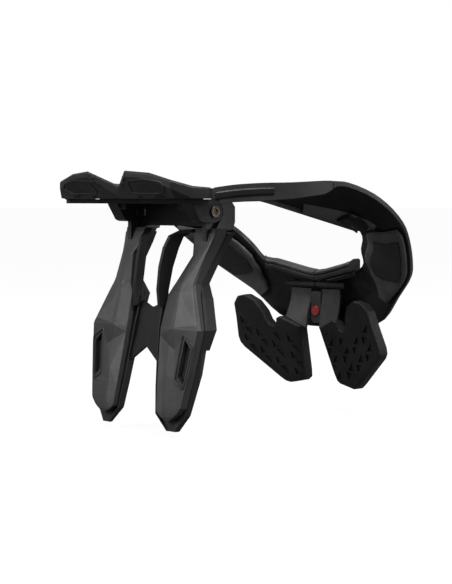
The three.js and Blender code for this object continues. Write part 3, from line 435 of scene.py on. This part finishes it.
# Each facet is a lattice of small triangles between its three corners, laid on the blade, and carries its
# painted light and shade as a colour attribute
def strutFace(side):
    cuts = strut["cuts"]
    steps = [(i, j) for i in range(cuts + 1) for j in range(cuts + 1 - i)]
    spot = {step: k for k, step in enumerate(steps)}
    small = [(spot[i, j], spot[i + 1, j], spot[i, j + 1]) for i, j in steps if i + j < cuts]
    small += [(spot[i + 1, j], spot[i + 1, j + 1], spot[i, j + 1]) for i, j in steps if i + j < cuts - 1]
    share = np.array(steps) / cuts
    points, faces, paintedFacetLights = [], [], []
    for names, shade in facets:
        a, b, c = (np.array(facetCorners[name]) for name in names.split())
        lattice = a + share[:, :1] * (b - a) + share[:, 1:] * (c - a)
        faces += [tuple(k + len(points) * len(steps) for k in face) for face in small]
        points.append(strutFacePlace(lattice[:, 0], lattice[:, 1], lattice[:, 2], side))
        paintedFacetLights += [shade] * len(small)
    mesh = bpy.data.meshes.new("strut_face_" + side)
    mesh.from_pydata(np.concatenate(points).tolist(), [], faces)
    joined = bmesh.new()
    joined.from_mesh(mesh)
    # Painted light and shade of each facet, kept on its corners
    paintedLightLayer = joined.loops.layers.float_color.new("paintedFacetLight")
    for face, shade in zip(joined.faces, paintedFacetLights):
        for loop in face.loops:
            loop[paintedLightLayer] = (shade, shade, shade, 1)
    bmesh.ops.remove_doubles(joined, verts=joined.verts, dist=1e-6)
    joined.normal_update()
    turned = [face for face in joined.faces if face.normal.y > 0]
    bmesh.ops.reverse_faces(joined, faces=turned)
    joined.to_mesh(mesh)
    joined.free()
    piece = newPiece("strut_face_" + side, mesh, "back_struts", strutGrey)
    wall = piece.modifiers.new("wall", "SOLIDIFY")
    wall.thickness = strut["thickness"] / 1000
    wall.offset = -1
    return piece


for side in sides:
    strutFace(side)
print("strut faces made")


# A piece with the given corners and faces, all of them turned outwards
def closedPiece(name, corners, faces, body, look):
    mesh = bpy.data.meshes.new(name)
    mesh.from_pydata(corners.reshape(-1, 3).tolist(), [], faces)
    whole = bmesh.new()
    whole.from_mesh(mesh)
    bmesh.ops.recalc_face_normals(whole, faces=whole.faces)
    whole.to_mesh(mesh)
    whole.free()
    return newPiece(name, mesh, body, look)


# A bead along a closed path: at each point a rounded section of the given width and height, set
# across the path's own direction and the outward one
def beadRing(name, path, outward, width, height, body, look, around=8):
    path = np.array(path, float)
    outward = np.broadcast_to(np.array(outward, float), path.shape)
    ahead, behind = np.roll(path, -1, 0), np.roll(path, 1, 0)
    along = (ahead - behind) / np.linalg.norm(ahead - behind, axis=1)[:, None]
    outward = outward / np.linalg.norm(outward, axis=1)[:, None]
    across = np.cross(along, outward)
    across /= np.linalg.norm(across, axis=1)[:, None]
    # At a corner the section is drawn out so that the bead keeps its width
    turn = (ahead - path) / np.maximum(np.linalg.norm(ahead - path, axis=1)[:, None], 1e-9)
    stretch = 1 / np.clip(np.sqrt(np.clip((turn * along).sum(1), 0.05, 1)), 0.4, 1)
    angle = np.linspace(0, 2 * math.pi, around, endpoint=False) + math.pi / around
    sideways = (np.cos(angle) * width / 2)[None, :, None] * stretch[:, None, None]
    ring = path[:, None] + across[:, None] * sideways
    ring = ring + outward[:, None] * (np.sin(angle) * height / 2)[None, :, None]
    count = len(path)
    faces = []
    for i in range(count):
        here, there = i * around, (i + 1) % count * around
        turns = [(j, (j + 1) % around) for j in range(around)]
        faces += [(here + j, here + k, there + k, there + j) for j, k in turns]
    piece = closedPiece(name, ring, faces, body, look)
    piece.data.polygons.foreach_set("use_smooth", np.ones(len(piece.data.polygons), bool))
    return piece


# A node's solid as a tree that lines can be cast at
def solidTree(node):
    solid = nodes[node].data
    return BVHTree.FromPolygons([v.co[:] for v in solid.vertices], [p.vertices[:] for p in solid.polygons])


# Where straight lines in one direction first meet a node's solid: places and outward normals
def landOn(node, starts, direction):
    tree = solidTree(node)
    hits = [tree.ray_cast(Vector(start), Vector(direction)) for start in starts]
    hits = [(place, normal) for place, normal, face, reach in hits if place is not None]
    return np.array([place[:] for place, normal in hits]), np.array([normal[:] for place, normal in hits])


# Small flat bodies with many sides, one at each place: an outline set in the plane across the normal,
# with its top a little proud of the surface and its foot sunk in it
def inlays(name, places, normals, outline, proud, sunk, body, look):
    side = np.cross((0.0, 0.0, 1.0), normals)
    side /= np.linalg.norm(side, axis=1)[:, None]
    rise = np.cross(normals, side)
    flat = side[:, None] * outline[None, :, :1] + rise[:, None] * outline[None, :, 1:]
    top = places[:, None] + flat + normals[:, None] * proud
    foot = places[:, None] + flat - normals[:, None] * sunk
    count = len(outline)
    corners = np.concatenate([top, foot], axis=1)
    faces = []
    for k in range(len(places)):
        first = k * 2 * count
        faces.append(tuple(first + j for j in range(count)))
        faces.append(tuple(first + count + j for j in range(count - 1, -1, -1)))
        faces += [
            (first + j, first + count + j, first + count + (j + 1) % count, first + (j + 1) % count)
            for j in range(count)
        ]
    return closedPiece(name, corners, faces, body, look)


def outlineEvenly(corners, pitch):
    corners = np.array(corners, float)
    points = []
    for start, end in zip(corners, np.roll(corners, -1, 0)):
        count = max(1, int(np.linalg.norm(end - start) / pitch))
        points += [start + (end - start) * i / count for i in range(count)]
    return np.array(points)


def roundOutline(radius, count=20):
    angle = np.linspace(0, 2 * math.pi, count, endpoint=False)
    return np.stack([np.cos(angle), np.sin(angle)], -1) * radius


# Rear table: a raised frame with a field of dashes, a round and a triangular recess, and two slots, in mm; each
# recess is a flat inlay painted nearly black as painted shade. A depth is how far a recess's top stands proud
# and its foot is sunk
table = {
    "frame": ((23, 38.6), (26.5, 48.8), (46, 50.2), (64, 47.4), (67, 43), (58, 38.2)),
    "rows": ((40.0, 29, 56), (41.9, 30, 61), (43.8, 29, 63), (45.7, 30, 62), (47.6, 29, 56)),
    "pitch": 3.4, "dash": ((-1.1, 0), (-0.6, 0.42), (0.6, 0.42), (1.1, 0), (0.6, -0.42), (-0.6, -0.42)),
    "hole": (20.5, 50.4, 2.3), "holeShare": 0.62, "slots": ((31, 35.6, 3.6), (55, 35.7, 5.4)),
    "notch": (15.5, 45.2), "triangle": ((-2.2, 1.2), (2.2, 1.2), (0.4, -1.6)),
    "dashDepth": (0.12, 0.6), "holeDepth": (0.14, 1.0), "slotDepth": (0.14, 0.8),
}


def onTable(points, sign):
    return landOn("rear_table", [(sign * x / 1000, -0.3, z / 1000) for x, z in points], (0, 1, 0))


def tableDetail(side):
    sign = 1 if side == "right" else -1

    # A flat inlay at each spot, painted nearly black as painted shade standing in for a recess
    def recess(name, spots, outline, depth):
        places, normals = onTable(spots, sign)
        proud, sunk = (d / 1000 for d in depth)
        outline = np.array(outline) / 1000
        inlays(f"table_{name}_{side}", places, normals, outline, proud, sunk, "frame", paintedShadeLook)
        return places[0], normals[0]

    rim = cornersRounded(table["frame"], 0.16, 4)
    places, normals = onTable(outlineEvenly(rim, 1.5), sign)
    beadRing("table_frame_" + side, places, normals, 0.0014, 0.0013, "frame", chassisLook)
    spots = []
    for i, (z, start, end) in enumerate(table["rows"]):
        spots += [(x + (i % 2) * table["pitch"] / 2, z) for x in np.arange(start, end, table["pitch"])]
    recess("dashes", spots, table["dash"], table["dashDepth"])
    x, z, radius = table["hole"]
    floor = roundOutline(radius * table["holeShare"])
    place, normal = recess("hole", [(x, z)], floor, table["holeDepth"])
    ring = place + roundRing(normal, radius / 1000)
    beadRing("table_ring_" + side, ring, normal, 0.0007, 0.0009, "frame", rimLook)
    recess("notch", [table["notch"]], table["triangle"], table["slotDepth"])
    for k, (x, z, half) in enumerate(table["slots"]):
        slit = [(-half, -0.9), (half - 0.8, -0.9), (half, 0.9), (-half + 0.8, 0.9)]
        recess(f"slot_{k + 1}", [(x, z)], slit, table["slotDepth"])


def roundRing(normal, radius, count=28):
    side = np.cross((0, 0, 1), normal)
    side /= np.linalg.norm(side)
    rise = np.cross(normal, side)
    flat = roundOutline(radius, count)
    return flat[:, :1] * side + flat[:, 1:] * rise


# The lip band inside the arch: a strip between two lines of the photograph's frame that lie on the arch and
# on its inner lip, bowed a little outwards, with a wall behind it
lipBand = {
    "upper": ((262, 198.5), (285, 202), (310, 205), (335, 210), (355, 215.5), (369, 221), (376, 226)),
    "lower": ((262, 206), (285, 212), (310, 215.5), (335, 222.5), (350, 227), (362, 231.5), (374, 230.5)),
    "columns": 40, "rows": 6, "bow": 0.0016, "lift": 0.0012, "wall": 0.0012, "edge": 0.0004,
}


def alongLine(corners, count):
    corners = np.array(corners, float)
    reach = np.r_[0, np.cumsum(np.linalg.norm(np.diff(corners, axis=0), axis=1))]
    at = np.linspace(0, reach[-1], count)
    return np.stack([np.interp(at, reach, corners[:, 0]), np.interp(at, reach, corners[:, 1])], -1)


def landSeen(names, places):
    trees = [solidTree(name) for name in names]
    found = []
    for across, down in places:
        hits = [tree.ray_cast(Vector(view["place"]), seenAlong(across, down)) for tree in trees]
        hits = [hit for hit in hits if hit[0] is not None]
        found.append(min(hits, key=lambda hit: hit[3])[0][:] if hits else (math.nan,) * 3)
    return np.array(found)


def makeLipBand():
    count = lipBand["columns"]
    carriers = ("side_shell_right", "front_wing_right", "inner_lip_right", "brow_block_right")
    upper = landSeen(carriers, alongLine(lipBand["upper"], count))
    lower = landSeen(carriers, alongLine(lipBand["lower"], count))
    whole = ~np.isnan(upper).any(1) & ~np.isnan(lower).any(1)
    print("lip band: columns kept", int(whole.sum()), "of", count)
    upper, lower = upper[whole], lower[whole]
    for line in (upper, lower):
        for k in range(3):
            line[1:-1, k] = (line[:-2, k] + line[1:-1, k] * 2 + line[2:, k]) / 4
    toward = np.array(view["place"]) / np.linalg.norm(view["place"])
    share = np.linspace(0, 1, lipBand["rows"])[None, :, None]
    sheet = upper[:, None] * (1 - share) + lower[:, None] * share
    sheet = sheet + toward * (lipBand["lift"] + lipBand["bow"] * np.sin(share * math.pi))
    rows, cols = sheet.shape[1], sheet.shape[0]
    for side in sides:
        sign = 1 if side == "right" else -1
        mesh = bpy.data.meshes.new("lip_band_" + side)
        faces = [
            (i * rows + j, (i + 1) * rows + j, (i + 1) * rows + j + 1, i * rows + j + 1)[::sign]
            for i in range(cols - 1) for j in range(rows - 1)
        ]
        mesh.from_pydata((sheet.reshape(-1, 3) * (sign, 1, 1)).tolist(), [], faces)
        mesh.update()
        outward = np.array([sign * toward[0], toward[1], toward[2]])
        if sum(np.dot(face.normal, outward) for face in mesh.polygons) < 0:
            mesh.flip_normals()
        piece = newPiece("lip_band_" + side, mesh, frontBody[side], lipLook)
        wall = piece.modifiers.new("wall", "SOLIDIFY")
        wall.thickness = lipBand["wall"]
        wall.offset = -1
        roundEdges(piece, lipBand["edge"])


makeLipBand()

# Raised frame round the slot of each strut
slotFrame = {
    "across": (0.645, 0.95, 0.92, 0.615), "down": (-0.492, -0.542, -0.775, -0.735),
    "width": 1.6, "height": 1.6, "lift": 0.3, "rounding": 0.1,
}


def cornersRounded(corners, cut, steps=3):
    corners = np.array(corners, float)
    points = []
    for before, corner, after in zip(np.roll(corners, 1, 0), corners, np.roll(corners, -1, 0)):
        start, end = corner + (before - corner) * cut, corner + (after - corner) * cut
        for t in np.linspace(0, 1, steps):
            points.append((1 - t) ** 2 * start + 2 * t * (1 - t) * corner + t**2 * end)
    return np.array(points)


for side in sides:
    flat = cornersRounded(list(zip(slotFrame["across"], slotFrame["down"])), slotFrame["rounding"])
    path = strutFacePlace(flat[:, 0], flat[:, 1], slotFrame["lift"], side)
    beadRing(
        "slot_frame_" + side, path, (0, -1, 0), slotFrame["width"] / 1000, slotFrame["height"] / 1000,
        "back_struts", strutGrey,
    )
for side in sides:
    tableDetail(side)
print("slot frames and table details made")

# Floor, light and camera
studio = {"floorZ": -0.168, "floorHalf": 30.0, "white": 0.35, "roomLight": 0.4, "floorGlow": 0.9}


def floorPlane():
    half = studio["floorHalf"]
    z = studio["floorZ"]
    mesh = bpy.data.meshes.new("floor")
    corners = [(-half, -half, z), (half, -half, z), (half, half, z), (-half, half, z)]
    mesh.from_pydata(corners, [], [(0, 1, 2, 3)])
    floor = bpy.data.objects.new("floor", mesh)
    bpy.context.scene.collection.objects.link(floor)
    look = Look("paleFloor")
    seen = look.node("ShaderNodeLightPath", out="Is Camera Ray")
    sockets = {"Value": seen, "To Min": 0.0, "To Max": studio["floorGlow"]}
    glow = look.node("ShaderNodeMapRange", None, sockets)
    pale = {"Base_Color": tone(studio["white"]), "Emission_Color": tone(1.0), "Emission_Strength": glow}
    mesh.materials.append(look.finish(Roughness=0.9, **pale))


# Each lamp: place, where it looks, size and power
lamps = {
    "key": ((1.2, -0.5, 1.2), (0, 0, 0), 0.6, 15),
    "rear": ((-0.5, -1.5, 0.7), (0, -0.05, -0.05), 0.5, 12),
    "front": ((1.3, 0.9, 0.35), (0.05, 0.05, 0), 0.5, 7),
    "over": ((0.0, -0.1, 1.5), (0, 0, 0), 0.8, 18),
}


def lampAt(name, place, target, size, power):
    data = bpy.data.lights.new(name, "AREA")
    data.size = size
    data.energy = power
    lamp = bpy.data.objects.new(name, data)
    aim = Vector(target) - Vector(place)
    lamp.rotation_euler = aim.to_track_quat("-Z", "Y").to_euler()
    lamp.location = place
    bpy.context.scene.collection.objects.link(lamp)


floorPlane()
for name, (place, target, size, power) in lamps.items():
    lampAt(name, place, target, size, power)


# A pale room: white where it is seen, and dimmer where it lights the piece
def paleRoom(light):
    world = bpy.data.worlds.new("paleRoom")
    world.use_nodes = True
    tree = world.node_tree
    ground = tree.nodes["Background"]
    ground.inputs["Color"].default_value = tone(1.0)
    path = tree.nodes.new("ShaderNodeLightPath")
    strength = tree.nodes.new("ShaderNodeMapRange")
    strength.inputs["To Min"].default_value = light
    strength.inputs["To Max"].default_value = 1.0
    tree.links.new(path.outputs["Is Camera Ray"], strength.inputs["Value"])
    tree.links.new(strength.outputs["Result"], ground.inputs["Strength"])
    bpy.context.scene.world = world


paleRoom(studio["roomLight"])
bpy.context.scene.view_settings.view_transform = "Standard"

camera = bpy.data.objects.new("camera", bpy.data.cameras.new("camera"))
camera.location = view["place"]
camera.rotation_euler = (math.radians(90 - view["elevation"]), 0, math.radians(view["azimuth"]))
camera.data.lens = view["lens"]
bpy.context.scene.collection.objects.link(camera)
bpy.context.scene.camera = camera
print("studio made")
